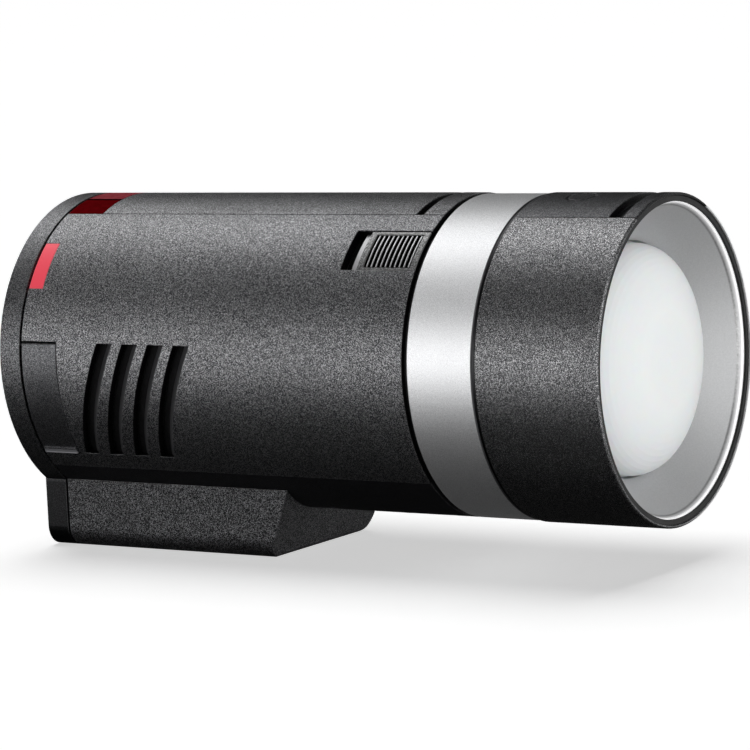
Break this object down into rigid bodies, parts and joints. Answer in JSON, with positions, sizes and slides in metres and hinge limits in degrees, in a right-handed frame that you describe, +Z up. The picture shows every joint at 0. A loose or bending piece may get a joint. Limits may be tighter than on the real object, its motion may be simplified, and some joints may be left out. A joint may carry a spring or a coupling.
{
  "type": "monolight strobe",
  "caption": "Round battery-powered studio flash head with a frosted glass dome, rear control panel, port door, release slide and a slide-out battery in its foot.",
  "frame": {"origin": "on the ground under the middle of the object's overall length, at the centre of its width", "axes": "+X along the barrel towards the light, +Y to the side without the port door, +Z up"},
  "size_m": [0.2014, 0.09, 0.1012],
  "materials": {
    "body_plastic": "fine sparkle powder texture",
    "foot_plastic": "coarse spark texture",
    "panel_plastic": "fine matte",
    "black_plastic": "smooth matte",
    "trim_grey": "satin",
    "sensor_red": "dark translucent gloss",
    "marker_red": "satin gloss",
    "button_grey": "soft touch",
    "button_light": "translucent",
    "silver_metal": "fine bead-blasted, clear anodised",
    "reflector_metal": "satin",
    "frosted_glass": "frosted white",
    "display_glass": "clear gloss over a dark display",
    "display_module": "backlit module",
    "steel": "plain",
    "brass": "plain",
    "circuit_board": "solder mask",
    "heat_sink": "plain",
    "cell_wrap": "shrink film over a steel can",
    "capacitor_wrap": "shrink film over an aluminium can",
    "transformer_core": "ferrite and wound copper",
    "coil_tape": "tape",
    "silicone": "plain",
    "white_ceramic": "glazed",
    "led_white": "solder mask and phosphor",
    "tube_glass": "clear quartz"
  },
  "bodies": {
    "lamp_body": {"rear_bezel": "body_plastic", "control_panel": "panel_plastic", "display_window": "display_glass", "display_module": "display_module", "control_board": "circuit_board", "rotary_encoder": "steel", "panel_screws": "steel", "left_shell": "body_plastic", "right_shell": "body_plastic", "top_cover": "body_plastic", "base_cover": "black_plastic", "sensor_window": "sensor_red", "optical_sensor": "black_plastic", "side_marker": "marker_red", "port_plate": "black_plastic", "usb_socket": "steel", "sync_jack": "steel", "slide_spring": "steel", "battery_housing": "foot_plastic", "bay_contacts": "brass", "deck": "heat_sink", "capacitors": "capacitor_wrap", "transformer": "transformer_core", "main_board": "circuit_board", "trigger_coil": "coil_tape", "power_heat_sink": "heat_sink", "fan_frame": "black_plastic", "front_bulkhead": "black_plastic", "front_sleeve": "black_plastic", "silver_ring": "silver_metal", "trim_ring": "trim_grey", "front_barrel": "body_plastic", "front_top_strip": "body_plastic", "front_rim": "black_plastic", "reflector": "reflector_metal", "dome": "frosted_glass", "dome_seal": "silicone", "led_board": "led_white", "led_heat_sink": "heat_sink", "flash_tube": "tube_glass", "tube_socket": "white_ceramic", "mount_plate": "heat_sink", "thread_insert": "brass", "base_screws": "steel"},
    "dial": {"control_dial": "black_plastic"},
    "set_key": {"set_button": "button_grey"},
    "power_key": {"power_button": "marker_red"},
    "test_key": {"test_button": "button_light"},
    "menu_key": {"menu_button": "button_grey"},
    "mode_key": {"mode_button": "button_grey"},
    "group_key": {"group_button": "button_grey"},
    "lamp_key": {"lamp_button": "button_grey"},
    "port_door": {"port_cover": "body_plastic"},
    "slide": {"release_slide": "black_plastic"},
    "battery_pack": {"battery_case": "black_plastic", "battery_cap": "foot_plastic", "battery_cells": "cell_wrap", "battery_contacts": "brass"},
    "latch": {"battery_latch": "marker_red"},
    "fan": {"fan_rotor": "black_plastic"}
  },
  "joints": [
    {"name": "dial_turn", "type": "hinge", "parent": "lamp_body", "child": "dial", "pos_m": [-0.0937, 0, 0.055], "axis": [1, 0, 0], "continuous": true},
    {"name": "set_press", "type": "slide", "parent": "lamp_body", "child": "set_key", "axis": [1, 0, 0], "range_m": [0, 0.0008], "stiffness_N_per_m": 700, "springref_m": -0.0015},
    {"name": "power_press", "type": "slide", "parent": "lamp_body", "child": "power_key", "axis": [1, 0, 0], "range_m": [0, 0.0007], "stiffness_N_per_m": 700, "springref_m": -0.0015},
    {"name": "test_press", "type": "slide", "parent": "lamp_body", "child": "test_key", "axis": [1, 0, 0], "range_m": [0, 0.0007], "stiffness_N_per_m": 700, "springref_m": -0.0015},
    {"name": "menu_press", "type": "slide", "parent": "lamp_body", "child": "menu_key", "axis": [1, 0, 0], "range_m": [0, 0.0007], "stiffness_N_per_m": 700, "springref_m": -0.0015},
    {"name": "mode_press", "type": "slide", "parent": "lamp_body", "child": "mode_key", "axis": [1, 0, 0], "range_m": [0, 0.0007], "stiffness_N_per_m": 700, "springref_m": -0.0015},
    {"name": "group_press", "type": "slide", "parent": "lamp_body", "child": "group_key", "axis": [1, 0, 0], "range_m": [0, 0.0007], "stiffness_N_per_m": 700, "springref_m": -0.0015},
    {"name": "lamp_press", "type": "slide", "parent": "lamp_body", "child": "lamp_key", "axis": [1, 0, 0], "range_m": [0, 0.0007], "stiffness_N_per_m": 700, "springref_m": -0.0015},
    {"name": "port_door_swing", "type": "hinge", "parent": "lamp_body", "child": "port_door", "pos_m": [-0.0797, -0.04386, 0.0617], "axis": [-1, 0, 0], "range_deg": [0, 95]},
    {"name": "release_travel", "type": "slide", "parent": "lamp_body", "child": "slide", "axis": [-1, 0, 0], "range_m": [0, 0.0027], "stiffness_N_per_m": 500, "springref_m": -0.002, "deforming": ["slide_spring"]},
    {"name": "battery_travel", "type": "slide", "parent": "lamp_body", "child": "battery_pack", "axis": [-1, 0, 0], "range_m": [0, 0.09]},
    {"name": "latch_travel", "type": "slide", "parent": "battery_pack", "child": "latch", "axis": [0, 0, -1], "range_m": [0, 0.0016], "stiffness_N_per_m": 500, "springref_m": -0.002},
    {"name": "fan_spin", "type": "hinge", "parent": "lamp_body", "child": "fan", "pos_m": [-0.0497, -0.03, 0.0462], "axis": [0, 1, 0], "continuous": true}
  ]
}
